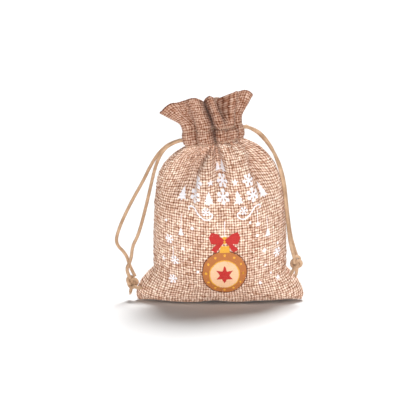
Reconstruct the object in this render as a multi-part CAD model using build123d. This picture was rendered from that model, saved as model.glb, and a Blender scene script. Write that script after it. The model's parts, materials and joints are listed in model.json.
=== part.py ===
from build123d import *
from math import cos, pi, radians, sin, sqrt, tan
import os

"""Drawstring gift sack of coarse woven cloth, standing open inside and drawn closed at the neck.

Two cloth panels are sewn together down both sides and along the bottom, with the seam
allowances inside. The top of each panel is folded down inside itself, which makes a double
frill, and two rows of stitching below the frill close a casing round the neck. Two drawstrings
run right round in the casing. Each leaves it by a slit in its own side seam, hangs down that
side as two legs, and ends in a knot with two short tails.

Millimetres. +Z is up, the front faces -Y, and the origin is the middle of the base.
"""

# Cloth
CLOTH = 1.0  # one layer
BASE_WALL = 1.2  # the bottom, where it lies on the table

# Body
FLAT_WIDTH = 100.0  # a panel laid flat, seam to seam, as wide as the bottom corners still are
BASE_WIDTH = 93.0  # the part of it that touches the table
BODY_WIDTH = 79.0  # the filled-out middle, side to side
BODY_DEPTH = 46.0  # and front to back
BASE_DEPTH = 23.0
EAR_HEIGHT = 26.0  # the flat bottom corners end at this height
CORNER_BULK = 2.7  # how fast the cloth doubles up towards the tip of a flat corner

# Neck: its pieces are ovals, two half circles and two straight sides, about one shared middle
NECK_HEIGHT = 100.5  # from the table to the middle of the casing
NECK_SHIFT = -4.2  # it stands this far off the middle of the base
NECK_TILT = 8.4  # degrees, with the right side higher
NECK_WIDTH = 37.0
NECK_DEPTH = 27.0
CASING_HEIGHT = 10.0
CASING_WALL = 1.7  # the gathered outer layer
HEM_BULK = 4.2  # the gathered inner layer, thick because all its folds point inwards
HEM_FOOT = 1.0  # where the lower stitching holds the two layers together
SLIT_MARGIN = 0.5  # cloth left between a slit and the stitching above or below it
SLIT_SIDE = 1.5  # from the cords to a slit's front and back edges

# Frill above the casing
FRILL_HEIGHT = 17.0
FRILL_WIDTH = 53.0
FRILL_DEPTH = 39.0
FRILL_WALL = 2.0  # two layers

# Drawstrings
CORD = 2.1
CORD_PLAY = 0.25  # round a cord in the casing
CORD_GAP = 0.4  # between two cords side by side
EXIT_BEND = 2.1  # radius of the turn out through the slit
PIVOT_OUT = 1.7  # the legs swing about a line this far outside the casing
PIVOT_GAP = 0.3  # between a leg's round inner end and the cord in the casing
KNOT_WIDTH = 7.2
KNOT_HEIGHT = 8.4
LEG_BEND_SHARE = 0.45  # of the shorter run, which a bend uses up

# Seams and stitching
ALLOWANCE = 6.0  # width of the cloth edges inside a seam
ALLOWANCE_THICKNESS = 1.8
SIDE_ALLOWANCE_END = 7.5  # from the casing down to where the side allowances stop
BOTTOM_ALLOWANCE_END = 17.5  # from the base's tips in to where the bottom one does
SEAT_GAP = 0.05  # between the cloth and what lies against it
THREAD = 0.5
STITCH_INSET = 0.8  # from a casing edge to its row of stitching

OUTLINE_POINTS = 24
TILT = radians(NECK_TILT)
SIDES = {"left": -1, "right": 1}

# What the neck's pieces share, counted inwards from the casing's outer face or up the neck
CASING_LOW = -CASING_HEIGHT / 2
CASING_HIGH = CASING_HEIGHT / 2
CHANNEL = CORD + 2 * CORD_PLAY
SLIT_LOW = CASING_LOW + HEM_FOOT + SLIT_MARGIN
SLIT_HIGH = CASING_HIGH - STITCH_INSET - THREAD / 2 - SLIT_MARGIN
SLIT_MIDDLE = (SLIT_LOW + SLIT_HIGH) / 2
CORD_SPACING = CORD + CORD_GAP
HEM_OUTSIDE = CASING_WALL + CHANNEL
HEM_INSIDE = HEM_OUTSIDE + HEM_BULK
STRAIGHT = (NECK_WIDTH - NECK_DEPTH) / 2
RUN_RADIUS = NECK_DEPTH / 2 - CASING_WALL - CHANNEL / 2
PIVOT_X = NECK_WIDTH / 2 + PIVOT_OUT
RUN_LEVEL = {
    "left": SLIT_MIDDLE - CORD_SPACING / 2,
    "right": SLIT_MIDDLE + CORD_SPACING / 2,
}

# Each leg's route after its swing point, as how far right, back and up from the middle of the
# side's swing line. The last point is inside the knot.
LEG_ROUTES = {
    "left_front_leg": [
        (-5.2, -1.6, -1.6),
        (-10.6, -2.2, -6.6),
        (-14.2, -2.6, -15.0),
        (-16.6, -2.6, -25.0),
        (-19.4, -2.4, -37.0),
        (-22.6, -2.4, -49.5),
        (-25.2, -2.4, -57.5),
        (-28.2, -2.4, -63.0),
        (-29.0, -2.4, -71.5),
        (-32.6, -2.4, -77.6),
        (-29.4, -1.6, -82.9),
    ],
    "left_back_leg": [
        (-5.0, 1.4, -1.2),
        (-11.6, 1.6, -6.4),
        (-16.8, 1.6, -14.2),
        (-21.6, 1.4, -24.2),
        (-27.6, 1.2, -34.6),
        (-32.4, 1.0, -44.0),
        (-36.6, 0.9, -53.6),
        (-38.6, 0.9, -62.0),
        (-32.0, 1.0, -68.4),
        (-30.2, 1.1, -75.6),
        (-26.9, 1.0, -82.0),
    ],
    "right_front_leg": [
        (5.4, -2.0, -1.4),
        (10.6, -3.6, -5.8),
        (15.2, -5.2, -12.6),
        (19.0, -6.4, -22.0),
        (22.4, -7.0, -34.0),
        (24.0, -7.4, -47.0),
        (25.4, -7.6, -60.0),
        (26.2, -7.6, -69.5),
        (28.8, -7.5, -77.8),
    ],
    "right_back_leg": [
        (5.0, 0.9, -2.2),
        (10.2, 0.2, -6.6),
        (15.6, -1.2, -13.2),
        (20.6, -2.4, -22.6),
        (24.2, -3.4, -34.6),
        (25.8, -3.9, -47.4),
        (26.8, -4.1, -59.4),
        (28.0, -4.2, -69.2),
        (30.6, -4.6, -77.6),
    ],
}
TAIL_ROUTES = {
    "left_front_tail": [(-27.6, -1.8, -87.0), (-25.4, -4.0, -87.8), (-22.4, -5.2, -87.2)],
    "left_back_tail": [(-29.0, 0.4, -87.6), (-29.8, 0.6, -92.0)],
    "right_front_tail": [(28.9, -7.2, -82.6), (26.8, -8.8, -86.8)],
    "right_back_tail": [(30.4, -5.0, -82.8), (29.6, -5.4, -88.4)],
}
KNOT_MIDDLES = {"left": (-28.6, -0.4, -85.2), "right": (29.9, -6.0, -80.4)}


def neck_plane(up):
    """The plane across the neck this far up it from the middle of the casing."""
    origin = (NECK_SHIFT - up * sin(TILT), 0, NECK_HEIGHT + up * cos(TILT))
    return Plane(origin, x_dir=(cos(TILT), 0, sin(TILT)), z_dir=(-sin(TILT), 0, cos(TILT)))


def body_plane(height, share):
    """A level of the body. At share 0 it is level and central; at 1 it leans like the neck."""
    lean = TILT * share
    return Plane(
        (NECK_SHIFT * share, 0, height),
        x_dir=(cos(lean), 0, sin(lean)),
        z_dir=(-sin(lean), 0, cos(lean)),
    )


def outline(plane, half_width, half_depth, pinch):
    """A closed outline: an ellipse at pinch 1, drawn out to sharper ends as pinch grows."""
    points = []
    for i in range(OUTLINE_POINTS):
        turn = 2 * pi * i / OUTLINE_POINTS
        front_or_back = 1 if sin(turn) >= 0 else -1
        y = half_depth * front_or_back * abs(sin(turn)) ** pinch
        points.append((half_width * cos(turn), y))
    with BuildSketch(plane) as sketch:
        with BuildLine():
            Spline(*points, periodic=True)
        make_face()
    return sketch.sketch


def body_levels():
    """(height, lean share, half width, half depth, pinch), from the table to the casing."""
    width, depth, flat = BODY_WIDTH / 2, BODY_DEPTH / 2, FLAT_WIDTH / 2
    rise = neck_plane(CASING_LOW).origin.Z - EAR_HEIGHT
    return [
        (0.0, 0.0, BASE_WIDTH / 2, BASE_DEPTH / 2, 1.5),
        (EAR_HEIGHT * 0.16, 0.0, flat, depth * 0.74, 1.6),
        (EAR_HEIGHT * 0.37, 0.0, flat * 0.965, depth * 0.88, 1.6),
        (EAR_HEIGHT * 0.62, 0.0, flat * 0.45 + width * 0.55, depth * 0.95, 1.4),
        (EAR_HEIGHT * 0.85, 0.0, flat * 0.10 + width * 0.90, depth * 0.98, 1.22),
        (EAR_HEIGHT * 1.15, 0.0, width, depth, 1.08),
        (EAR_HEIGHT * 1.50, 0.0, width, depth, 1.0),
        (EAR_HEIGHT + rise * 0.32, 0.0, width, depth, 1.0),
        (EAR_HEIGHT + rise * 0.50, 0.05, width * 0.98, depth * 0.99, 1.0),
        (EAR_HEIGHT + rise * 0.69, 0.30, width * 0.94, depth * 0.96, 1.0),
        (EAR_HEIGHT + rise * 0.80, 0.50, width * 0.86, depth * 0.90, 1.0),
        (EAR_HEIGHT + rise * 0.91, 0.75, width * 0.70, depth * 0.78, 1.0),
    ]


def body_solid(inset):
    """The filled-out body as one solid, with its skin this far inside the cloth's outer face."""
    sections = []
    for height, share, half_width, half_depth, pinch in body_levels():
        floor = BASE_WALL if inset else 0.0
        tip = inset * (1 + CORNER_BULK * (pinch - 1))
        plane = body_plane(max(height, floor), share)
        sections.append(outline(plane, half_width - tip, half_depth - inset, pinch))
    top = outline(neck_plane(CASING_LOW), NECK_WIDTH / 2 - inset, NECK_DEPTH / 2 - inset, 1.0)
    solid = loft([*sections, top])
    if inset:  # carried on upwards, so that cutting with it opens the top
        solid += extrude(top, amount=CASING_HEIGHT)
    return solid


def oval(plane, width, depth):
    with BuildSketch(plane) as sketch:
        SlotOverall(width, depth)
    return sketch.sketch


def neck_ring(low, high, outside, inside):
    """A band round the neck between two heights and two distances inside the casing's face."""
    plane = neck_plane(low)
    outer = oval(plane, NECK_WIDTH - 2 * outside, NECK_DEPTH - 2 * outside)
    inner = oval(plane, NECK_WIDTH - 2 * inside, NECK_DEPTH - 2 * inside)
    return extrude(outer - inner, amount=high - low)


def halves(shape, name):
    """The front and back of a piece that is divided at the side seams."""
    reach = 4 * FLAT_WIDTH
    front = shape & Pos(0, -reach / 2, 0) * Box(reach, reach, reach)
    back = shape & Pos(0, reach / 2, 0) * Box(reach, reach, reach)
    return {f"front_{name}": front, f"back_{name}": back}


def panels():
    return halves(body_solid(0) - body_solid(CLOTH), "panel")


def casings():
    """The outer layer between the two rows of stitching, slit at each side seam."""
    slit_width = CORD_SPACING + CORD + 2 * SLIT_SIDE
    slits = neck_plane(SLIT_MIDDLE) * Box(2 * NECK_WIDTH, slit_width, SLIT_HIGH - SLIT_LOW)
    return halves(neck_ring(CASING_LOW, CASING_HIGH, 0, CASING_WALL) - slits, "casing")


def hems():
    """The inner layer of the casing, which is the turned-down end of each panel."""
    ring = neck_ring(CASING_LOW, CASING_HIGH, HEM_OUTSIDE, HEM_INSIDE)
    ring += neck_ring(CASING_LOW, CASING_LOW + HEM_FOOT, CASING_WALL, HEM_OUTSIDE)
    return halves(ring, "hem")


def frills():
    """The double layer above the casing: gathered at its foot, spread at its top."""
    foot, top = neck_plane(CASING_HIGH), neck_plane(CASING_HIGH + FRILL_HEIGHT)
    outer = loft([oval(foot, NECK_WIDTH, NECK_DEPTH), oval(top, FRILL_WIDTH, FRILL_DEPTH)])
    throat = oval(foot, NECK_WIDTH - 2 * HEM_INSIDE, NECK_DEPTH - 2 * HEM_INSIDE)
    mouth = oval(top, FRILL_WIDTH - 2 * FRILL_WALL, FRILL_DEPTH - 2 * FRILL_WALL)
    return halves(outer - loft([throat, mouth]), "frill")


def seam_allowances():
    """The cloth edges inside the side seams and along the bottom seam."""
    strip = body_solid(CLOTH + SEAT_GAP) - body_solid(CLOTH + SEAT_GAP + ALLOWANCE)
    height = neck_plane(CASING_LOW).origin.Z - SIDE_ALLOWANCE_END - EAR_HEIGHT
    middle = EAR_HEIGHT + height / 2
    found = {}
    for side, sign in SIDES.items():
        band = Pos(sign * FLAT_WIDTH / 2, 0, middle) * Box(FLAT_WIDTH, ALLOWANCE_THICKNESS, height)
        found[f"{side}_seam_allowance"] = strip & band
    place = Pos(0, ALLOWANCE / 2, BASE_WALL + SEAT_GAP + ALLOWANCE_THICKNESS / 2)
    length = BASE_WIDTH - 2 * BOTTOM_ALLOWANCE_END
    found["bottom_seam_allowance"] = place * Box(length, ALLOWANCE, ALLOWANCE_THICKNESS)
    return found


def stitching():
    """A row of thread near each edge of the casing, front and back."""
    found = {}
    rows = {"upper": CASING_HIGH - STITCH_INSET, "lower": CASING_LOW + STITCH_INSET}
    for row, height in rows.items():
        low, high = height - THREAD / 2, height + THREAD / 2
        ring = neck_ring(low, high, -SEAT_GAP - THREAD, -SEAT_GAP)
        found.update(halves(ring, f"{row}_stitching"))
    return found


def round_tube(wire):
    """A cord along a wire."""
    section = Plane(wire.position_at(0), z_dir=wire.tangent_at(0)) * Circle(CORD / 2)
    return sweep(section, wire)


def casing_run(side):
    """A drawstring's run inside the casing: in by its slit, right round, and out again."""
    sign = SIDES[side]
    y = CORD_SPACING / 2
    stub = PIVOT_X - CORD / 2 - PIVOT_GAP
    # The turn out of the slit touches the round end of the run from outside.
    middle = Vector(
        STRAIGHT + sqrt((RUN_RADIUS + EXIT_BEND) ** 2 - (y + EXIT_BEND) ** 2), y + EXIT_BEND
    )
    end_middle = Vector(STRAIGHT, 0)
    join = end_middle + (middle - end_middle).normalized() * RUN_RADIUS
    bend = middle + (join - middle + Vector(0, -EXIT_BEND)).normalized() * EXIT_BEND
    diagonal = RUN_RADIUS * sqrt(0.5)

    def at(x, across):
        return (sign * x, across)

    with BuildLine(neck_plane(RUN_LEVEL[side])) as line:
        Line(at(stub, -y), at(middle.X, -y))
        ThreePointArc(at(middle.X, -y), at(bend.X, -bend.Y), at(join.X, -join.Y))
        ThreePointArc(
            at(join.X, -join.Y), at(STRAIGHT + diagonal, -diagonal), at(STRAIGHT, -RUN_RADIUS)
        )
        Line(at(STRAIGHT, -RUN_RADIUS), at(-STRAIGHT, -RUN_RADIUS))
        ThreePointArc(
            at(-STRAIGHT, -RUN_RADIUS), at(-STRAIGHT - RUN_RADIUS, 0), at(-STRAIGHT, RUN_RADIUS)
        )
        Line(at(-STRAIGHT, RUN_RADIUS), at(STRAIGHT, RUN_RADIUS))
        ThreePointArc(
            at(STRAIGHT, RUN_RADIUS), at(STRAIGHT + diagonal, diagonal), at(join.X, join.Y)
        )
        ThreePointArc(at(join.X, join.Y), at(bend.X, bend.Y), at(middle.X, y))
        Line(at(middle.X, y), at(stub, y))
    return round_tube(line.wire())


def swing_point(side):
    """The middle of the line that a drawstring's legs swing about."""
    plane = neck_plane(RUN_LEVEL[side])
    return plane.origin + plane.x_dir * (SIDES[side] * PIVOT_X)


def cord_piece(name, side, offsets):
    """A leg or tail along its route, with bends as wide as the runs beside them allow."""
    points = [swing_point(side) + Vector(*offset) for offset in offsets]
    radii = []
    for before, here, after in zip(points, points[1:], points[2:]):
        turn = radians((here - before).get_angle(after - here))
        shorter = min((here - before).length, (after - here).length)
        radii.append(LEG_BEND_SHARE * shorter / tan(turn / 2))
    if radii:
        wire = FilletPolyline(*points, radius=radii).wire()
    else:
        wire = Wire.make_polygon(points, close=False)
    tube = round_tube(wire)
    share = tube.volume / (pi * (CORD / 2) ** 2 * wire.length)
    radii = [round(radius, 1) for radius in radii]
    print(f"{name}: length {wire.length:.1f}, volume {share:.4f} of section x length, radii {radii}")
    return tube


def knot(side):
    """The knot's outer shape, a little taller than it is wide."""
    radius = KNOT_WIDTH / 2
    straight = KNOT_HEIGHT - KNOT_WIDTH
    body = Cylinder(radius, straight)
    for end in (-straight / 2, straight / 2):
        body += Pos(0, 0, end) * Sphere(radius)
    return Pos(swing_point(side) + Vector(*KNOT_MIDDLES[side])) * body


def drawstrings():
    """Both drawstrings. A leg has a round inner end, which can turn in the slit."""
    found = {}
    for side in SIDES:
        found[f"{side}_casing_run"] = casing_run(side)
        tied = knot(side)
        for routes in (LEG_ROUTES, TAIL_ROUTES):
            for name, offsets in routes.items():
                if not name.startswith(side):
                    continue
                if routes is LEG_ROUTES:
                    start = (0, CORD_SPACING / 2 * (1 if "back" in name else -1), 0)
                    tube = cord_piece(name, side, [start, *offsets])
                    tube += Pos(swing_point(side) + Vector(*start)) * Sphere(CORD / 2)
                else:
                    tube = cord_piece(name, side, offsets)
                tied -= tube
                found[name] = tube
        found[f"{side}_knot"] = tied
    return found


os.makedirs("parts", exist_ok=True)
nodes = {}
for make in (panels, casings, hems, frills, seam_allowances, stitching, drawstrings):
    nodes.update(make())
for node, shape in nodes.items():
    export_step(shape, f"parts/{node}.step")
for side in SIDES:
    point = swing_point(side)
    print(f"{side} swing point: {point.X:.4f} {point.Y:.4f} {point.Z:.4f}")
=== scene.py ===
"""The looks of a drawstring gift sack of coarse cloth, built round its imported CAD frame."""

import bpy
import json
import math
import numpy as np
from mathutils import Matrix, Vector


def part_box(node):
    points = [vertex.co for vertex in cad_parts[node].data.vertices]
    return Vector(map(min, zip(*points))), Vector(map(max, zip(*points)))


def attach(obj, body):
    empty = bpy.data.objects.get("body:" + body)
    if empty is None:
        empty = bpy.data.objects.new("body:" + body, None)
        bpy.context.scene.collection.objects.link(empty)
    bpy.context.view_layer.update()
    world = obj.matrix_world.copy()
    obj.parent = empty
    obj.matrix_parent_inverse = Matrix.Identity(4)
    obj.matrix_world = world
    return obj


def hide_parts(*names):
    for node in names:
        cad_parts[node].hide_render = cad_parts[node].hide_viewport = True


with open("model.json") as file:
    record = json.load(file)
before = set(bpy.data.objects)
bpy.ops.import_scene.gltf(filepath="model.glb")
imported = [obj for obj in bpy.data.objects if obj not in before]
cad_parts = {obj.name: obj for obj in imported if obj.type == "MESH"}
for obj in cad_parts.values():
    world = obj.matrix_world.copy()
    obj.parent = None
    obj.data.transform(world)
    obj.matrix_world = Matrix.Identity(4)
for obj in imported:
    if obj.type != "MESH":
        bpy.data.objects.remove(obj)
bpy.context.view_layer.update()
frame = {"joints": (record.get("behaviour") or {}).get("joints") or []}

MM = 0.001
rng = np.random.default_rng(7)

# ---------------------------------------------------------------- sizes, in millimetres

PANEL_WIDTH = 100.0  # of one cloth panel, from seam to seam
PANEL_THREADS = 66
PITCH = PANEL_WIDTH / PANEL_THREADS
AROUND = 2 * PANEL_THREADS
BODY_LENGTH = 110.0  # of cloth from the bottom seam up to the casing
CASING_LENGTH = 10.0
FRILL_LENGTH = 20.0
BEND_LENGTH = 6.0  # over which the frill turns outward above the casing
FREE_FOLDS = 20.0  # above the casing's foot, from where the frill's folds have their own depth
CLOTH = 0.8
DOUBLED = 1.7  # where the top is folded over inside
CORD = 2.1
TWIST = {"strands": 3, "lead": 2.4, "ridge": 0.09}  # of a cord, turning once in each lead
JOINT_BALL = 1.1  # radius of the ball at a slit that a swinging leg turns round
RUN_SHOWN = 5.6  # of each cord in the casing, inwards from its slit
WEAVE = 0.22  # how far a thread's crown stands out
WANDER = 0.11  # how far the threads wander in the cloth
GROOVE = 1.5  # how deep the casing's stitched rows draw it in
CREASE = 0.6  # and how deep the side seams lie
STITCH_INSET = 0.8  # from the casing's edges to its rows of stitches
STITCH_PITCH = 3.3
STITCH_LENGTH = 2.2
THREAD_RADIUS = 0.24
ALLOWANCE = 6.5  # of cloth inside a seam

CASING_ROW = round(BODY_LENGTH / PITCH)
ROWS = round((BODY_LENGTH + CASING_LENGTH + FRILL_LENGTH) / PITCH)

casing_low, casing_high = (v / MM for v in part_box("front_casing"))
NECK = (casing_low + casing_high) / 2
NECK_TILT = math.radians(8.4)
NECK_HALF_WIDTH = 18.0
NECK_HALF_DEPTH = -casing_low.y - 0.4
PIVOTS = {joint["child"]: Vector(joint["pos_m"]) / MM for joint in frame["joints"]}


def smooth(low, high, value):
    """0 below low, 1 above high, and a smooth rise between them."""
    t = np.clip((value - low) / (high - low), 0, 1)
    return t * t * (3 - 2 * t)


def unit(vectors):
    return vectors / (np.linalg.norm(vectors, axis=-1, keepdims=True) + 1e-9)


def gone_along(points):
    """How far along a line each of its points lies."""
    return np.concatenate([[0], np.cumsum(np.linalg.norm(np.diff(points, axis=0), axis=1))])


# ---------------------------------------------------------------- the shape of the gathered cloth

# How the body goes up, by the length of cloth above the bottom seam: half its width, half its
# depth, the height of its middle and of its sides, and how far it leans with the neck.
BODY = np.array([
    (0.0, 49.8, 0.2, 0.6, 1.2, 0.0),
    (5.0, 50.8, 5.4, 0.5, 5.0, 0.0),
    (10.0, 49.9, 10.4, 0.7, 9.8, 0.0),
    (15.0, 47.6, 14.0, 4.2, 14.4, 0.0),
    (21.5, 42.8, 17.4, 9.8, 19.4, 0.0),
    (25.5, 39.4, 19.0, 13.4, 22.4, 0.0),
    (32.5, 39.0, 21.2, 20.2, 28.6, 0.0),
    (46.5, 39.2, 22.6, 33.8, 42.4, 0.0),
    (63.0, 38.4, 22.6, 50.2, 58.6, 0.0),
    (75.0, 37.4, 21.8, 62.2, 69.8, 0.10),
    (82.0, 36.2, 20.8, 69.0, 75.6, 0.28),
    (88.0, 34.4, 19.6, 74.8, 80.6, 0.45),
    (94.0, 31.6, 18.0, 80.6, 85.4, 0.6),
    (100.0, 27.6, 16.2, 86.2, 89.8, 0.78),
    (105.0, 22.8, 14.6, 91.0, 93.0, 0.9),
    (110.0, 17.8, 13.2, 95.5, 95.5, 1.0),
])
BODY_TOP = BODY[-1, 3]

# Folds, by their place as a share of the way round from the left seam: how deep at the top of the
# frill, in the casing and in the body, and how far down the body they reach.
FOLDS = [
    (0.000, 2.5, 5.0, 3.0, 14.0),
    (0.120, 5.0, 9.5, 9.0, 40.0),
    (0.260, 14.0, 11.0, 17.0, 38.0),
    (0.338, 15.0, 1.5, 0.0, 8.0),
    (0.417, 5.5, 8.5, 10.0, 40.0),
    (0.560, 4.0, 7.0, 6.0, 22.0),
    (0.660, 6.5, 8.5, 7.0, 34.0),
    (0.755, 7.0, 9.0, 7.5, 28.0),
    (0.850, 6.5, 8.5, 7.0, 34.0),
    (0.930, 3.0, 6.5, 5.0, 22.0),
]
# The crests between the folds, by the same places
CRESTS = (0.045, 0.206, 0.302, 0.372, 0.480, 0.610, 0.708, 0.803, 0.892, 0.968)
# How the frill opens, by the place round the neck: how far it leans out (degrees), how much of its
# height it loses at the top, and how far its top leans sideways.
FRILL = [
    (0.045, 54, 1.5, 0.0), (0.095, 38, -2.0, 0.0), (0.150, 24, -0.5, -1.0), (0.206, 20, 0.0, -1.5),
    (0.302, 12, 0.8, -5.0), (0.372, 20, 0.0, 2.0), (0.440, 28, -1.5, 1.5), (0.480, 38, 2.0, 0.0),
    (0.560, 40, 5.0, 0.0), (0.610, 40, 4.5, 0.0), (0.708, 42, 3.0, 1.5), (0.803, 40, 3.0, -1.0),
    (0.892, 44, 4.5, 0.0), (0.968, 54, 7.5, 0.0),
]


def round_the_neck(share, places, values):
    """A value for each place round the neck, going round and round."""
    places = np.array([places[-1] - 1, *places, places[0] + 1])
    values = np.array([values[-1], *values, values[0]], dtype=float)
    at = np.clip(np.searchsorted(places, share, side="right") - 1, 0, len(places) - 2)
    t = (share - places[at]) / (places[at + 1] - places[at])
    return values[at] + (values[at + 1] - values[at]) * (t * t * (3 - 2 * t))


def folds(share, over):
    """How far each place is drawn in, and how far it is pushed sideways under the next crest, at
    this length of cloth above the casing's foot (below it, a negative length)."""
    drawn = np.zeros_like(share)
    pushed = np.zeros_like(share)
    opened = smooth(CASING_LENGTH, FREE_FOLDS, over)
    keen = 1.5 + 1.7 * smooth(-24, -4, over) - 0.6 * opened
    under = 0.4 + 0.5 * smooth(-16, 0, over) * (1 - opened)
    for place, frill, casing, body, reach in FOLDS:
        left = max([c for c in CRESTS if c < place], default=CRESTS[-1] - 1)
        right = min([c for c in CRESTS if c > place], default=CRESTS[0] + 1)
        if over > CASING_LENGTH:
            deep = casing + (frill - casing) * opened
        elif over > 0:
            deep = casing
        else:
            deep = (body + (casing - body) * smooth(-7, 0, over)) * smooth(-reach, -3, over)
        for turn in (-1, 0, 1):
            at = share + turn
            here = (at > left) & (at < right)
            t = np.where(at < place, (at - left) / (place - left), (right - at) / (right - place))
            t = np.clip(t, 0, 1)
            shape = np.sin(t * np.pi / 2) ** keen
            side = np.where(at < place, 1, -1) * np.sin(t * np.pi) * under
            drawn = np.where(here, shape * deep, drawn)
            pushed = np.where(here, side * min(deep, 9) / 7, pushed)
    return drawn, pushed


def hollows(share, over):
    """How far the front is drawn in beside its two ridges under the casing: steeply on the side of
    the middle, and less and less towards the seams."""
    deep = 19 * smooth(-42, -10, over) * (1 - smooth(-3, 0, over))
    left = 0.165 + 0.055 * smooth(-22, -2, over)
    right = 0.384 + 0.048 * smooth(-22, -2, over)
    from_left = np.clip((share - 0.02) / (left - 0.02), 0, 1) ** 1.3
    from_right = np.clip((0.50 - share) / (0.50 - right), 0, 1) ** 1.3
    from_left *= 1 - smooth(left - 0.004, left + 0.014, share)
    from_right *= smooth(right - 0.014, right + 0.004, share)
    return deep * (from_left + from_right)


def ring(half_width, half_depth, share, by_length, blunt=1.0):
    """Points on a level's outline in its own plane, and which way is out at each."""
    fine = np.linspace(0, 1, 1441)
    angle = np.pi - 2 * np.pi * fine

    def oval(angle):
        cos, sin = np.cos(angle), np.sin(angle)
        x, y = np.sign(cos) * np.abs(cos) ** blunt, np.sign(sin) * np.abs(sin) ** blunt
        return half_width * x, -half_depth * y

    x, y = oval(angle)
    if by_length:
        gone = np.concatenate([[0], np.cumsum(np.hypot(np.diff(x), np.diff(y)))])
        place = np.interp(share, gone / gone[-1], fine)
    else:
        place = share
    angle = np.pi - 2 * np.pi * place
    out = np.stack([np.cos(angle) * half_depth, -np.sin(angle) * half_width])
    out /= np.linalg.norm(out, axis=0) + 1e-9
    return *oval(angle), out


def flat_block(share):
    """1 on the wide flat part of the casing at the front, 0 away from it."""
    return smooth(0.262, 0.285, share) * (1 - smooth(0.385, 0.410, share))


def gathered_cloth():
    """Every crossing of two threads, row by row up the cloth and round it from the left seam."""
    share = np.arange(AROUND) / AROUND
    points = np.zeros((ROWS + 1, AROUND, 3))
    lean_out, cut, sideways = (
        round_the_neck(share, [p[0] for p in FRILL], [p[k] for p in FRILL]) for k in (1, 2, 3)
    )
    lean_out = np.radians(lean_out) + 1e-6
    block = flat_block(share)
    for row in range(ROWS + 1):
        rise = row * PITCH
        over = rise - CASING_ROW * PITCH
        drawn, pushed = folds(share, over)
        if over <= 0:
            half_width, half_depth, middle, side, lean = (
                np.interp(rise, BODY[:, 0], BODY[:, k]) for k in range(1, 6)
            )
            drawn = drawn + hollows(share, over)
            blunt = 0.78 + 0.22 * smooth(8, 32, rise)
            x1, y1, out1 = ring(half_width, half_depth, share, True, blunt)
            x2, y2, out2 = ring(half_width, half_depth, share, False)
            mix = smooth(88, BODY_LENGTH, rise)
            x, y, out = x1 + (x2 - x1) * mix, y1 + (y2 - y1) * mix, out1 + (out2 - out1) * mix
            outward, up = np.zeros(AROUND), np.zeros(AROUND)
        else:
            x, y, out = ring(NECK_HALF_WIDTH, NECK_HALF_DEPTH, share, False)
            bulge = (0.7 + 1.1 * block) * np.sin(np.pi * np.clip(over / CASING_LENGTH, 0, 1))
            loose = max(0.0, over - CASING_LENGTH)
            length = loose * (1 - (cut + 0.3 * drawn) / FRILL_LENGTH)
            bent = np.minimum(length, BEND_LENGTH)
            curl = lean_out * bent / BEND_LENGTH + 1e-6
            outward = bulge + bent * (1 - np.cos(curl)) / curl + (length - bent) * np.sin(lean_out)
            up = bent * np.sin(curl) / curl + (length - bent) * np.cos(lean_out)
            up = up + min(over, CASING_LENGTH) - CASING_LENGTH / 2
            pushed = pushed + sideways * (loose / FRILL_LENGTH) ** 1.2
        across = np.stack([-out[1], out[0]])
        x = x + out[0] * (outward - drawn) + across[0] * pushed
        y = y + out[1] * (outward - drawn) + across[1] * pushed
        if over <= 0:
            tilt = NECK_TILT * lean
            share_up = np.clip(np.abs(y) / (half_depth + 1e-6), 0, 1) ** 0.9
            height = side + (middle - side) * share_up
            arch = 1.5 * np.exp(-((x + 3) / 9) ** 2) + 0.9 * np.exp(-((x - 22) / 10) ** 2)
            height = height + arch * (1 - smooth(8, 26, rise))
            foot_x = NECK.x + CASING_LENGTH / 2 * math.sin(NECK_TILT)
            foot_lift = NECK.z - CASING_LENGTH / 2 - BODY_TOP
            points[row, :, 0] = foot_x * lean + x * math.cos(tilt)
            points[row, :, 2] = height + x * math.sin(tilt) + foot_lift * lean
        else:
            points[row, :, 0] = NECK.x + x * math.cos(NECK_TILT) - up * math.sin(NECK_TILT)
            points[row, :, 2] = NECK.z + x * math.sin(NECK_TILT) + up * math.cos(NECK_TILT)
        points[row, :, 1] = y
    return points


def outward_of(points):
    across = np.roll(points, -1, 1) - np.roll(points, 1, 1)
    return unit(np.cross(across, np.gradient(points, axis=0)))


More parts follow.
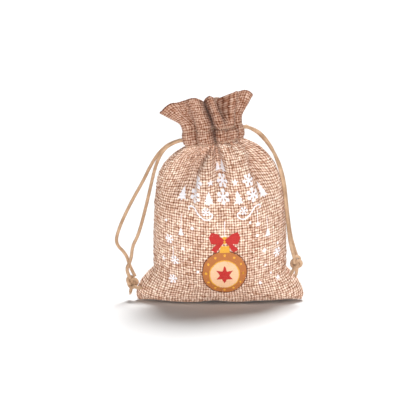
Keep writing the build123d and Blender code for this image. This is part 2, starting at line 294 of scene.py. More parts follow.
def settle(points, rounds):
    """The cloth finds its own creases: threads keep their length, the filling pushes it out, it
    has weight, and the floor holds it up. The casing and the frill stay as they were drawn."""
    target, x = points.copy(), points.copy()
    speed = np.zeros_like(x)
    rows, columns = x.shape[:2]
    push, weight_of_cloth, drag = 0.0035, 0.0015, 0.9
    free = np.ones((rows, 1, 1))
    free[CASING_ROW:] = 0.0
    free[CASING_ROW - 5:CASING_ROW] = np.linspace(1, 0.1, 5)[:, None, None]
    links = [  # rows apart, columns apart, stiffness
        (0, 1, 1.0), (1, 0, 1.0), (1, 1, 0.4), (1, -1, 0.4), (0, 2, 0.3), (2, 0, 0.3),
        (0, 4, 0.16), (4, 0, 0.16),
    ]
    # The shape as drawn holds the cloth firmly near the neck and the bottom, loosely between
    hold = 0.004 + 0.16 * smooth(BODY_LENGTH - 44, BODY_LENGTH - 14, np.arange(rows) * PITCH)
    hold = (hold + 0.06 * (1 - smooth(8, 30, np.arange(rows) * PITCH)))[:, None, None]
    for _ in range(rounds):
        speed = speed * drag + outward_of(x) * push
        speed[..., 2] -= weight_of_cloth
        x += speed * free
        before = x.copy()
        shift = np.zeros_like(x)
        weight = np.zeros((rows, columns, 1))
        for up, across, stiffness in links:
            gap = np.roll(x, -across, 1)[up:] - x[:rows - up]
            length = np.linalg.norm(gap, axis=2, keepdims=True) + 1e-9
            move = gap * (0.5 * stiffness * (1 - PITCH * math.hypot(up, across) / length))
            shift[:rows - up] += move
            weight[:rows - up] += stiffness
            shift[up:] -= np.roll(move, across, 1)
            weight[up:] += stiffness
        x += shift / np.maximum(weight, 1) * 1.6 * free
        x += (target - x) * hold * free
        x[..., 2] = np.maximum(x[..., 2], 0.5)
        mirrored = x[0][(-np.arange(columns)) % columns]
        x[0] = (x[0] + mirrored) / 2
        x[0, :, 1] = 0
        speed = speed * 0.5 + (x - before) * 0.3
    return x


def halfway(values, axis, closed):
    """Doubles the points along one axis, with smooth points between."""
    if closed:
        ahead, far, back = (np.roll(values, k, axis) for k in (-1, -2, 1))
    else:
        index = np.arange(values.shape[axis])
        last = len(index) - 1
        ahead, far, back = (
            np.take(values, np.clip(index + k, 0, last), axis) for k in (1, 2, -1)
        )
    between = (9 * (values + ahead) - back - far) / 16
    both = np.stack([values, between], axis + 1)
    shape = list(values.shape)
    shape[axis] *= 2
    both = both.reshape(shape)
    return both if closed else np.take(both, np.arange(shape[axis] - 1), axis)


def slow_noise(shape, axis, span):
    """Uneven values that change slowly along one axis, and at once across it."""
    noise = rng.normal(size=shape)
    kernel = np.hanning(span + 2)[1:-1]
    kernel /= np.linalg.norm(kernel)
    return np.apply_along_axis(lambda line: np.convolve(line, kernel, "same"), axis, noise)


crossings = gathered_cloth()
crossings = settle(crossings, 450)
mean_cloth = halfway(halfway(crossings, 1, True), 0, False)
FINE_ROWS, FINE_AROUND = mean_cloth.shape[:2]
out = outward_of(mean_cloth)

# Threads wander a little in the cloth and are thick here and thin there
along_row = unit(np.roll(mean_cloth, -1, 1) - np.roll(mean_cloth, 1, 1))
up_column = unit(np.gradient(mean_cloth, axis=0))
cloth = mean_cloth + along_row * slow_noise((FINE_ROWS, FINE_AROUND), 0, 9)[..., None] * WANDER
cloth = cloth + up_column * slow_noise((FINE_ROWS, FINE_AROUND), 1, 9)[..., None] * WANDER
odd_row, odd_column = (np.arange(n) % 2 for n in (FINE_ROWS, FINE_AROUND))
crown = 1.0 - odd_row[:, None] - odd_column[None, :]
thick = 1 + 0.35 * slow_noise((FINE_ROWS, FINE_AROUND), 0, 7)
cloth = cloth + out * (WEAVE * crown * np.clip(thick, 0.3, 2))[..., None]

# Stitched rows draw the casing in, and the side seams lie in a crease
fine_rise = np.arange(FINE_ROWS) * PITCH / 2
groove = np.zeros(FINE_ROWS)
STITCHED_RISES = (BODY_LENGTH + STITCH_INSET, BODY_LENGTH + CASING_LENGTH - STITCH_INSET)
for stitched in STITCHED_RISES:
    groove += GROOVE * np.exp(-((fine_rise - stitched) / 0.9) ** 2)
crease = np.zeros(FINE_AROUND)
for seam in (0, PANEL_THREADS * 2, FINE_AROUND):
    crease += CREASE * np.exp(-((np.arange(FINE_AROUND) - seam) / 1.3) ** 2)
stitched_in = 0.4 + 0.6 * flat_block(np.arange(FINE_AROUND) / FINE_AROUND)
cloth = cloth - out * (groove[:, None] * stitched_in[None, :] + crease[None, :])[..., None]
cloth[..., 2] = np.maximum(cloth[..., 2], 0.05)
lined = smooth(BODY_LENGTH - 1, BODY_LENGTH + 1, fine_rise)
thickness = CLOTH + (DOUBLED - CLOTH) * lined


# ---------------------------------------------------------------- materials

class Shade:
    """A material whose colour, bump and roughness come from sums of node values."""

    def __init__(self, name, roughness=0.85, specular=0.25, sheen=0.0):
        self.material = bpy.data.materials.new(name)
        self.material.use_nodes = True
        self.tree = self.material.node_tree
        self.shader = self.tree.nodes["Principled BSDF"]
        self.shader.inputs["Roughness"].default_value = roughness
        self.shader.inputs["Specular IOR Level"].default_value = specular
        self.shader.inputs["Sheen Weight"].default_value = sheen

    def node(self, kind, inputs=(), **settings):
        node = self.tree.nodes.new(kind)
        for key, value in settings.items():
            setattr(node, key, value)
        for key, value in dict(inputs).items():
            if isinstance(value, bpy.types.NodeSocket):
                self.tree.links.new(value, node.inputs[key])
            else:
                node.inputs[key].default_value = value
        return node

    def math(self, operation, *values):
        return self.node("ShaderNodeMath", enumerate(values), operation=operation).outputs[0]

    def plus(self, *values):
        return self.math("ADD", *values)

    def times(self, *values):
        return self.math("MULTIPLY", *values)

    def mixed(self, share, first, second, blend="MIX"):
        node = self.node("ShaderNodeMix", data_type="RGBA", blend_type=blend)
        for index, value in ((0, share), (6, first), (7, second)):
            if isinstance(value, bpy.types.NodeSocket):
                self.tree.links.new(value, node.inputs[index])
            else:
                node.inputs[index].default_value = value if index == 0 else (*value, 1)
        return node.outputs[2]

    def place(self, map_name=None):
        if map_name:
            return self.node("ShaderNodeUVMap", uv_map=map_name).outputs[0]
        return self.node("ShaderNodeTexCoord").outputs["Object"]

    def parts(self, vector):
        return self.node("ShaderNodeSeparateXYZ", {0: vector}).outputs

    def joined(self, x, y, z):
        return self.node("ShaderNodeCombineXYZ", {0: x, 1: y, 2: z}).outputs[0]

    def noise(self, vector, scale, detail=2.0):
        inputs = {"Vector": vector, "Scale": scale, "Detail": detail}
        return self.node("ShaderNodeTexNoise", inputs).outputs["Fac"]

    def spread(self, value, low, high):
        """A noise value, whose usual run is 0.3 to 0.7, spread over low to high."""
        inputs = {"Value": value, 1: 0.3, 2: 0.7, 3: low, 4: high}
        return self.node("ShaderNodeMapRange", inputs, clamp=False).outputs[0]

    def finish(self, colour, height=None, distance=0.0001):
        if isinstance(colour, bpy.types.NodeSocket):
            self.tree.links.new(colour, self.shader.inputs["Base Color"])
        else:
            self.shader.inputs["Base Color"].default_value = (*colour, 1)
        if height is not None:
            inputs = {"Height": height, "Distance": distance, "Strength": 0.7}
            bump = self.node("ShaderNodeBump", inputs)
            self.tree.links.new(bump.outputs[0], self.shader.inputs["Normal"])
        return self.material


def woven(name, dark, middle, light, painted_shade_doubled=None):
    """Coarse plain weave, drawn in the threads' own coordinates. Its colour is painted shade at the
    threads' edges and in the gaps between them and a painted highlight on their crowns, over each
    thread's own uneven tone; a last colour, if given, paints shade over the casing and the frill.
    """
    shade = Shade(name, roughness=0.9, specular=0.15, sheen=0.05)
    u, v, _ = shade.parts(shade.place("threads"))
    column, row = shade.math("FLOOR", u), shade.math("FLOOR", v)
    drift_u = shade.noise(shade.joined(shade.times(column, 5.3), shade.times(v, 0.3), 1.0), 1.0)
    drift_v = shade.noise(shade.joined(shade.times(u, 0.3), shade.times(row, 5.3), 9.0), 1.0)
    drift_u, drift_v = shade.spread(drift_u, -0.2, 0.2), shade.spread(drift_v, -0.2, 0.2)
    u, v = shade.plus(u, drift_u), shade.plus(v, drift_v)
    fu, fv = shade.math("FRACT", u), shade.math("FRACT", v)
    iu, iv = shade.math("FLOOR", u), shade.math("FLOOR", v)
    weft = shade.math("FLOORED_MODULO", shade.plus(iu, iv), 2.0)
    warp = shade.math("SUBTRACT", 1.0, weft)

    def either(if_warp, if_weft):
        first, second = shade.times(if_warp, warp), shade.times(if_weft, weft)
        return shade.plus(first, second)

    across = shade.math("ABSOLUTE", shade.math("SUBTRACT", either(fu, fv), 0.5))
    along = shade.math("ABSOLUTE", shade.math("SUBTRACT", either(fv, fu), 0.5))
    thread = shade.plus(either(iu, iv), shade.times(weft, 311.0))
    run = either(v, u)
    slub = shade.noise(
        shade.joined(shade.times(thread, 3.7), shade.times(run, 0.45), weft),
        1.0, 3.0,
    )
    fibre = shade.noise(
        shade.joined(
            shade.plus(shade.times(thread, 9.1), shade.times(across, 9.0)),
            shade.times(run, 1.3), 5.0,
        ),
        1.0, 2.0,
    )
    patch = shade.noise(shade.joined(shade.times(u, 0.06), shade.times(v, 0.06), 2.0), 1.0)
    edge = shade.times(shade.math("POWER", shade.times(across, 2.0), 2.0), 0.8)
    dip = shade.times(shade.math("POWER", shade.times(along, 2.0), 2.0), 0.45)
    height = shade.math("SUBTRACT", shade.math("SUBTRACT", 1.0, edge), dip)
    height = shade.math("MAXIMUM", height, 0.0)
    inputs = {"Vector": shade.joined(iu, iv, weft)}
    speck = shade.node("ShaderNodeTexWhiteNoise", inputs).outputs["Value"]
    lift = shade.plus(shade.spread(slub, 0.45, 1.2), shade.times(speck, 0.4))
    tone = shade.times(height, lift)
    tone = shade.plus(tone, shade.spread(fibre, -0.12, 0.12))
    tone = shade.plus(tone, shade.spread(patch, -0.05, 0.05))
    # Painted shade and highlight: low places in the weave take the dark colour and high crowns the
    # light one, scaled by the yarn's own uneven tone
    low = shade.mixed(shade.times(tone, 2.2), dark, middle)
    inputs = {"Value": tone, 1: 0.45, 2: 1.15, 3: 0.0, 4: 1.0}
    bright = shade.node("ShaderNodeMapRange", inputs).outputs[0]
    colour = shade.mixed(bright, low, light)
    # Painted shade: the casing and the frill above the casing's foot are multiplied by a darker,
    # redder colour
    if painted_shade_doubled:
        top = shade.node(
            "ShaderNodeMapRange", {"Value": v, 1: CASING_ROW - 1.0, 2: CASING_ROW + 1.0}
        ).outputs[0]
        colour = shade.mixed(top, colour, shade.mixed(1.0, colour, painted_shade_doubled, "MULTIPLY"))
    return shade.finish(colour, height, 0.00025)


def twisted(name, dark, light, scale=1.0):
    """Smooth twisted cord or thread: fine fibres and a little unevenness along it."""
    shade = Shade(name, roughness=0.7, specular=0.3, sheen=0.05)
    where = shade.place()
    broad = shade.noise(where, 180.0 * scale)
    fine = shade.noise(where, 2600.0 * scale, 4.0)
    tone = shade.plus(shade.spread(broad, 0.2, 0.8), shade.spread(fine, -0.25, 0.25))
    return shade.finish(shade.mixed(tone, dark, light), fine, 0.00008)


def ink(name, colour, worn):
    """Printed ink that lets a little of the weave through."""
    shade = Shade(name, roughness=0.65, specular=0.3)
    where = shade.place()
    fine = shade.noise(where, 1900.0, 3.0)
    tone = shade.spread(fine, 0.0, 0.5)
    return shade.finish(shade.mixed(tone, colour, worn), fine, 0.00006)


# Colours of the gaps, the threads and the crowns: the dark gap colour is painted shade, the light
# crown colour a painted highlight
burlap = woven(
    # The last colour is painted shade, multiplied over the casing and the frill
    "burlap", (0.105, 0.028, 0.012), (0.52, 0.268, 0.165), (1.0, 0.84, 0.71), (0.60, 0.50, 0.46),
)
# The inside is the same cloth in darker colours: painted shade
burlap_inside = woven("burlap_inside", (0.07, 0.035, 0.02), (0.36, 0.22, 0.15), (0.7, 0.52, 0.4))
cord_material = twisted("cord", (0.31, 0.175, 0.092), (0.65, 0.435, 0.28))
thread_material = twisted("thread", (0.42, 0.27, 0.17), (0.72, 0.52, 0.38), 2.0)
fibre_material = twisted("loose fibre", (0.55, 0.38, 0.24), (0.85, 0.66, 0.45), 2.0)
white = ink("white ink", (0.92, 0.90, 0.94), (0.78, 0.73, 0.76))
amber = ink("amber ink", (0.50, 0.17, 0.045), (0.38, 0.12, 0.035))
cream = ink("cream ink", (0.85, 0.55, 0.34), (0.70, 0.42, 0.26))
umber = ink("umber ink", (0.16, 0.045, 0.02), (0.10, 0.03, 0.015))
red = ink("red ink", (0.55, 0.03, 0.025), (0.36, 0.02, 0.02))
gold = ink("gold ink", (0.80, 0.42, 0.05), (0.55, 0.26, 0.03))


# ---------------------------------------------------------------- making meshes

def piece(name, vertices, faces, materials, body="sack", slot=None, face_materials=None):
    """A mesh object from points in millimetres that rides on a body."""
    mesh = bpy.data.meshes.new(name)
    mesh.from_pydata((np.asarray(vertices) * MM).tolist(), [], faces)
    for material in materials:
        mesh.materials.append(material)
    mesh.polygons.foreach_set("use_smooth", [True] * len(mesh.polygons))
    if face_materials is not None:
        mesh.polygons.foreach_set("material_index", face_materials)
    mesh.update()
    thing = bpy.data.objects.new(name, mesh)
    bpy.context.scene.collection.objects.link(thing)
    if body:
        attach(thing, body)
    return thing


class Pile:
    """Points and faces of several simple shapes that end up in one piece."""

    def __init__(self):
        self.points, self.faces, self.kinds = [], [], []

    def add(self, points, faces, kind=0):
        first = len(self.points)
        self.points.extend(np.asarray(points).tolist())
        self.faces.extend([tuple(first + i for i in face) for face in faces])
        self.kinds.extend([kind] * len(faces))

    def piece(self, name, materials, **more):
        return piece(
            name, self.points, self.faces, materials, face_materials=self.kinds, **more
        )


def tube(line, radius, sides=12, strands=0, lead=1.0, ridge=0.0):
    """Points and faces of a closed round tube along a line, or of a twisted cord with ridges."""
    line = np.asarray(line, dtype=float)
    radius = np.broadcast_to(radius, len(line))
    forward = unit(np.gradient(line, axis=0))
    side = np.cross(forward[0], (0.31, 0.87, 0.39))
    points = []
    gone = gone_along(line)
    angles = np.arange(sides) * 2 * np.pi / sides
    for k, centre in enumerate(line):
        side = side - forward[k] * np.dot(side, forward[k])
        side /= np.linalg.norm(side)
        other = np.cross(forward[k], side)
        grow = radius[k]
        if strands:
            grow = radius[k] + ridge * np.cos(strands * (angles - 2 * np.pi * gone[k] / lead))
        ringed = np.cos(angles)[:, None] * side + np.sin(angles)[:, None] * other
        points.append(centre + ringed * np.reshape(grow, (-1, 1)))
    points = np.concatenate(points)
    faces = []
    for k in range(len(line) - 1):
        for j in range(sides):
            a, b = k * sides + j, k * sides + (j + 1) % sides
            faces.append((a, b, b + sides, a + sides))
    faces.append(tuple(range(sides))[::-1])
    faces.append(tuple(range(len(points) - sides, len(points))))
    return points, faces


def along(points, step):
    """The same line with points at even steps."""
    points = np.asarray(points, dtype=float)
    gone = gone_along(points)
    count = max(2, round(gone[-1] / step) + 1)
    at = np.linspace(0, gone[-1], count)
    return np.stack([np.interp(at, gone, points[:, k]) for k in range(3)], 1)


def spline(points):
    """Close points of the NURBS line with these control points, and its length, in millimetres."""
    curve = bpy.data.curves.new("route", "CURVE")
    curve.dimensions = "3D"
    line = curve.splines.new("NURBS")
    line.points.add(len(points) - 1)
    for control, place in zip(line.points, points):
        control.co = (*(c * MM for c in place), 1)
    line.order_u = 3
    line.use_endpoint_u = True
    line.resolution_u = 16
    holder = bpy.data.objects.new("route", curve)
    bpy.context.scene.collection.objects.link(holder)
    bpy.context.view_layer.update()
    mesh = bpy.data.meshes.new_from_object(holder)
    found = np.array([v.co[:] for v in mesh.vertices]) / MM
    bpy.data.objects.remove(holder)
    bpy.data.meshes.remove(mesh)
    return found, gone_along(found)[-1]


# ---------------------------------------------------------------- camera

AIM = Vector((-0.0071, 0, 0.0560))
DISTANCE = 0.85
ELEVATION = math.radians(9.5)
SENSOR = 36
SEEN_ACROSS = 0.2475  # metres, at the distance of what the camera aims at
view = bpy.data.cameras.new("camera")
view.sensor_width = SENSOR
view.lens = DISTANCE * SENSOR / SEEN_ACROSS
camera = bpy.data.objects.new("camera", view)
camera.location = AIM + Vector((0, -math.cos(ELEVATION), math.sin(ELEVATION))) * DISTANCE
camera.rotation_euler = (AIM - camera.location).to_track_quat("-Z", "Y").to_euler()
bpy.context.scene.collection.objects.link(camera)
bpy.context.scene.camera = camera


# ---------------------------------------------------------------- cords

RUN_APART = 1.25  # each of a cord's two runs from the middle of its slit, to the front or back
ROUTES = {  # each point to the right of, behind and above the drawstring's swing point
    "left_front_leg": [
        (0, -RUN_APART, 0), (-5.2, -1.6, -1.6), (-10.6, -2.2, -6.6), (-14.2, -2.6, -15.0),
        (-16.6, -2.6, -25.0), (-19.4, -2.4, -37.0), (-22.6, -2.4, -49.5), (-25.2, -2.4, -57.5),
        (-28.2, -2.4, -63.0), (-29.0, -2.4, -71.5), (-32.6, -2.4, -77.6), (-29.4, -1.6, -82.9),
    ],
    "left_back_leg": [
        (0, RUN_APART, 0), (-5.0, 1.4, -1.2), (-11.6, 1.6, -6.4), (-16.8, 1.6, -14.2),
        (-21.6, 1.4, -24.2), (-27.6, 1.2, -34.6), (-32.4, 1.0, -44.0), (-36.6, 0.9, -53.6),
        (-38.6, 0.9, -62.0), (-32.0, 1.0, -68.4), (-30.2, 1.1, -75.6), (-26.9, 1.0, -82.0),
    ],
    "right_front_leg": [
        (0, -RUN_APART, 0), (5.4, -2.0, -1.4), (10.6, -3.6, -5.8), (15.2, -5.2, -12.6),
        (19.0, -6.4, -22.0), (22.0, -7.0, -34.0), (23.4, -7.4, -47.0), (24.8, -7.6, -60.0),
        (26.0, -7.6, -69.5), (28.6, -7.5, -77.8),
    ],
    "right_back_leg": [
        (0, RUN_APART, 0), (5.0, 1.4, -2.2), (9.8, 1.4, -6.6), (15.0, 2.0, -13.2),
        (20.0, 4.0, -22.6), (23.1, 5.8, -34.6), (24.4, 6.0, -47.4), (25.8, 4.2, -59.4),
        (27.4, -0.2, -69.2), (30.4, -4.2, -77.6),
    ],
}
TAILS = {
    "left_front_tail": [(-27.6, -2.2, -87.0), (-26.0, -5.6, -87.8), (-23.0, -7.6, -87.2)],
    "left_back_tail": [(-29.0, 0.4, -87.6), (-29.4, 0.5, -89.8), (-29.8, 0.6, -92.0)],
    "right_front_tail": [(28.9, -7.2, -82.6), (28.0, -8.0, -84.6), (26.8, -8.8, -86.8)],
    "right_back_tail": [(30.4, -5.0, -82.8), (30.2, -5.2, -85.6), (29.6, -5.4, -88.4)],
}
KNOTS = {"left": (-28.6, -0.4, -85.2), "right": (29.9, -6.0, -80.4)}
LAID_RADIUS = CORD / 2 - 0.07


def cord_tube(line):
    return tube(along(line, 0.2), LAID_RADIUS, 18, **TWIST)


def knot_piece(side, body):
    """An overhand knot pulled tight: the cord goes round through its own loops."""
    centre = Vector(KNOTS[side]) + PIVOTS[body]
    turn = np.linspace(0, 2 * np.pi, 150)
    wide = 1.95 + 0.98 * np.cos(3 * turn + 0.4)
    x = wide * np.cos(2 * turn)
    z = wide * np.sin(2 * turn) * 1.18
    y = -1.15 * np.sin(3 * turn + 0.4)
    tip = math.radians(24 if side == "left" else -18)
    tipped_x = x * math.cos(tip) - z * math.sin(tip)
    tipped_z = x * math.sin(tip) + z * math.cos(tip)
    line = np.stack([tipped_x, y, tipped_z], 1)
    pile = Pile()
    pile.add(*tube(line + np.array(centre), LAID_RADIUS, 16, **TWIST))
    core = [np.array(centre) + (0, 0, h) for h in (-1.6, -0.8, 0, 0.8, 1.6)]
    pile.add(*tube(core, [0.7, 1.1, 1.25, 1.1, 0.7], 12))
    return pile.piece(f"{side}_knot_laid", [cord_material], body=body, slot="cord")


def tail_piece(name, body):
    """A cut end whose fibres have come apart."""
    start = PIVOTS[body]
    route = [Vector(p) + start for p in TAILS[name]]
    line, _ = spline(route)
    line = along(line, 0.2)
    pile = Pile()
    shape = np.full(len(line), LAID_RADIUS)
    shape[-4:] *= (0.97, 0.9, 0.78, 0.5)
    pile.add(*tube(line, shape, 18, **TWIST))
    end = line[-1]
    forward = unit(line[-1] - line[-5])
    for _ in range(26):
        spread = rng.normal(size=3) * 0.45
        reach = rng.uniform(0.9, 1.9)
        root = end - forward * 0.5 + rng.normal(size=3) * 0.3
        tip = root + unit(forward + spread * 0.7) * reach
        middle = (root + tip) / 2 + rng.normal(size=3) * 0.12
        pile.add(*tube(along([root, middle, tip], 0.4), 0.085, 5))
    return pile.piece(f"{name}_laid", [cord_material], body=body, slot="cord")


for side in ("left", "right"):
    body = f"{side}_drawstring"
    knot = knot_piece(side, body)
    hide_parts(f"{side}_knot")
    for where in ("front", "back"):
        tail = tail_piece(f"{side}_{where}_tail", body)
        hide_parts(f"{side}_{where}_tail")
        name = f"{side}_{where}_leg"
        line, length = spline([Vector(p) + PIVOTS[body] for p in ROUTES[name]])
        pile = Pile()
        pile.add(*cord_tube(line))
        leg = pile.piece(f"{name}_laid", [cord_material], body=body, slot="cord")
        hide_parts(name)
    # The cord's two runs come out of the slit together, and each ends in its ball
    inward = 1 if side == "left" else -1
    pile = Pile()
    for offset in (-RUN_APART, RUN_APART):
        start = np.array(PIVOTS[body]) + (0, offset, 0)
        inside = start + np.array([1, 0, math.tan(NECK_TILT)]) * inward * RUN_SHOWN
        pile.add(*cord_tube([start, (start + inside) / 2, inside]))
        through = -JOINT_BALL * np.cos(np.linspace(0, np.pi, 11))
        widths = np.sqrt(np.maximum(JOINT_BALL ** 2 - through ** 2, 0))
        ball = [start + (h, 0, 0) for h in through]
        pile.add(*tube(ball, np.maximum(widths, 0.04), 16))
    run = pile.piece(f"{side}_cord_in_casing", [cord_material], slot="cord")
    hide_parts(f"{side}_casing_run")


# ---------------------------------------------------------------- cloth panels

def panel(name, first, last):
    """One panel with its own thickness: woven outside, rounded fold at the top, inside."""
    wanted = np.arange(first, last + 1) % FINE_AROUND
    outside = cloth[:, wanted]
    normal = out[:, wanted]
    inside = mean_cloth[:, wanted] - normal * (thickness + 0.15)[:, None, None]
    inside[..., 2] = np.maximum(inside[..., 2], 0.3)
    upward = unit(outside[-1] - outside[-3])
    half = DOUBLED / 2
    rim = [
        (outside[-1] * (1 - t) + inside[-1] * t) + upward * half * math.sin(math.pi * t)
        for t in (0.15, 0.5, 0.85)
    ]
    grid = np.concatenate([outside, np.stack(rim), inside[::-1]])
    rows, columns = grid.shape[:2]
    index = np.arange(rows * columns).reshape(rows, columns)
    quads = np.stack(
        [index[:-1, :-1], index[:-1, 1:], index[1:, 1:], index[1:, :-1]], -1
    ).reshape(-1, 4)
    inner = np.repeat(np.arange(rows - 1) >= FINE_ROWS + 2, columns - 1)
    sides = []
    mirror = rows - 1 - np.arange(FINE_ROWS)
    for column, flip in ((0, True), (columns - 1, False)):
        for r in range(FINE_ROWS - 1):
            face = (index[r, column], index[r + 1, column], index[mirror[r + 1], column],
                    index[mirror[r], column])
            sides.append(face[::-1] if flip else face)
        end = [index[r, column] for r in range(FINE_ROWS - 1, FINE_ROWS + 4)]
        sides.append(tuple(end[::-1] if flip else end))
    foot = np.stack([index[-1, :-1], index[-1, 1:], index[0, 1:], index[0, :-1]], -1)
    faces = [tuple(int(i) for i in f) for f in quads.tolist() + sides + foot.tolist()]
    kinds = inner.astype(int).tolist() + [1] * (len(sides) + len(foot))
    thing = piece(
        name, grid.reshape(-1, 3), faces, [burlap, burlap_inside], slot="burlap",
        face_materials=kinds,
    )
    u = np.broadcast_to(np.arange(first, last + 1) / 2 + 0.5, (rows, columns))
    v = np.concatenate([
        np.arange(FINE_ROWS), FINE_ROWS - 1 + np.array([0.6, 1.2, 0.6]), np.arange(FINE_ROWS)[::-1],
    ]) / 2 + 0.5
    v = np.broadcast_to(v[:, None], (rows, columns))
    flat = np.stack([u, v], -1).reshape(-1, 2)
    layer = thing.data.uv_layers.new(name="threads")
    corners = np.zeros(len(thing.data.loops), dtype=int)
    thing.data.loops.foreach_get("vertex_index", corners)
    layer.data.foreach_set("uv", flat[corners].ravel())
    return thing


front_cloth = panel("front_cloth", 0, 2 * PANEL_THREADS)
back_cloth = panel("back_cloth", 2 * PANEL_THREADS, FINE_AROUND)
for thing, where in ((front_cloth, "front"), (back_cloth, "back")):
    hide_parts(*(f"{where}_{part}" for part in ("panel", "casing", "hem", "frill")))


def on_cloth(across, rise, lift=0.0):
    """Points on the outside of the cloth, for places across it from the left seam and up it from
    the bottom seam, in millimetres of flat cloth."""
    column = np.asarray(across, dtype=float) / PITCH * 2
    row = np.clip(np.asarray(rise, dtype=float) / PITCH * 2, 0, FINE_ROWS - 1.001)
    c, r = np.floor(column).astype(int), np.floor(row).astype(int)
    tc, tr = (column - c)[..., None], (row - r)[..., None]

    def value(table):
        a, b = table[r, c % FINE_AROUND], table[r, (c + 1) % FINE_AROUND]
        p, q = table[r + 1, c % FINE_AROUND], table[r + 1, (c + 1) % FINE_AROUND]
        return (a * (1 - tc) + b * tc) * (1 - tr) + (p * (1 - tc) + q * tc) * tr

    return value(cloth) + value(out) * lift


# ---------------------------------------------------------------- seams and stitching

def stitches(name, node, start, rise):
    """A row of even stitches that sink into the cloth at their ends."""
    pile = Pile()
    count = int(PANEL_WIDTH / STITCH_PITCH)
    for k in range(count):
        begin = start + (k + 0.5) * PANEL_WIDTH / count - STITCH_LENGTH / 2
        places = begin + np.linspace(0, STITCH_LENGTH, 7)
        lift = np.array([-0.3, 0.1, 0.24, 0.28, 0.24, 0.1, -0.3])
        line = on_cloth(places, np.full(7, rise) + rng.normal() * 0.06, 0.0)
        normal = on_cloth(places, np.full(7, rise), 1.0) - on_cloth(places, np.full(7, rise), 0.0)
        pile.add(*tube(line + normal * lift[:, None], THREAD_RADIUS, 7))
    thing = pile.piece(name, [thread_material], slot="thread")
    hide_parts(node)
    return thing


trims = {"front": [], "back": []}
for where, start in (("front", 0.0), ("back", PANEL_WIDTH)):
    for level, rise in zip(("lower", "upper"), STITCHED_RISES):
        row = stitches(f"{where}_{level}_stitches", f"{where}_{level}_stitching", start, rise)
        trims[where].append(row)


def allowance(name, node, edge, inward):
    """The turned-in edge of a seam: a strip of cloth folded double inside the sack."""
    edge = np.asarray(edge)
    inward = np.asarray(inward)
    first, last = edge + inward * 1.3, edge + inward * ALLOWANCE
    thick = unit(np.cross(np.gradient(edge, axis=0), inward)) * 0.7
    grid = np.stack([first - thick, last - thick, last + thick, first + thick], 1)
    rows = len(grid)
    faces = []
    for r in range(rows - 1):
        for k in range(4):
            a, b = r * 4 + k, r * 4 + (k + 1) % 4
            faces.append((a, b, b + 4, a + 4))
    faces += [(3, 2, 1, 0), tuple(rows * 4 - 4 + k for k in range(4))]
    thing = piece(name, grid.reshape(-1, 3), faces, [burlap_inside], slot="burlap_inside")
    layer = thing.data.uv_layers.new(name="threads")
    flat = [(k % 4, r) for r in range(rows) for k in range(4)]
    for loop in thing.data.loops:
        layer.data[loop.index].uv = flat[loop.vertex_index]
    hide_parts(node)
    return thing


# Turned-in edges run up the sides from 20 to 98 mm, and along the bottom between the corners
low, high = int(20 / PITCH), int(98 / PITCH)
for side, column, way in (("left", 0, 1.0), ("right", PANEL_THREADS, -1.0)):
    edge = crossings[low:high, column]
    inward = np.tile((way, 0.0, 0.0), (len(edge), 1))
    trims["front"].append(allowance(
        f"{side}_seam_edge", f"{side}_seam_allowance", edge, inward))
edge = crossings[0, 16:PANEL_THREADS - 15]
inward = np.tile((0.0, 0.0, 1.0), (len(edge), 1))
trims["front"].append(allowance("bottom_seam_edge", "bottom_seam_allowance", edge, inward))


# ---------------------------------------------------------------- prints

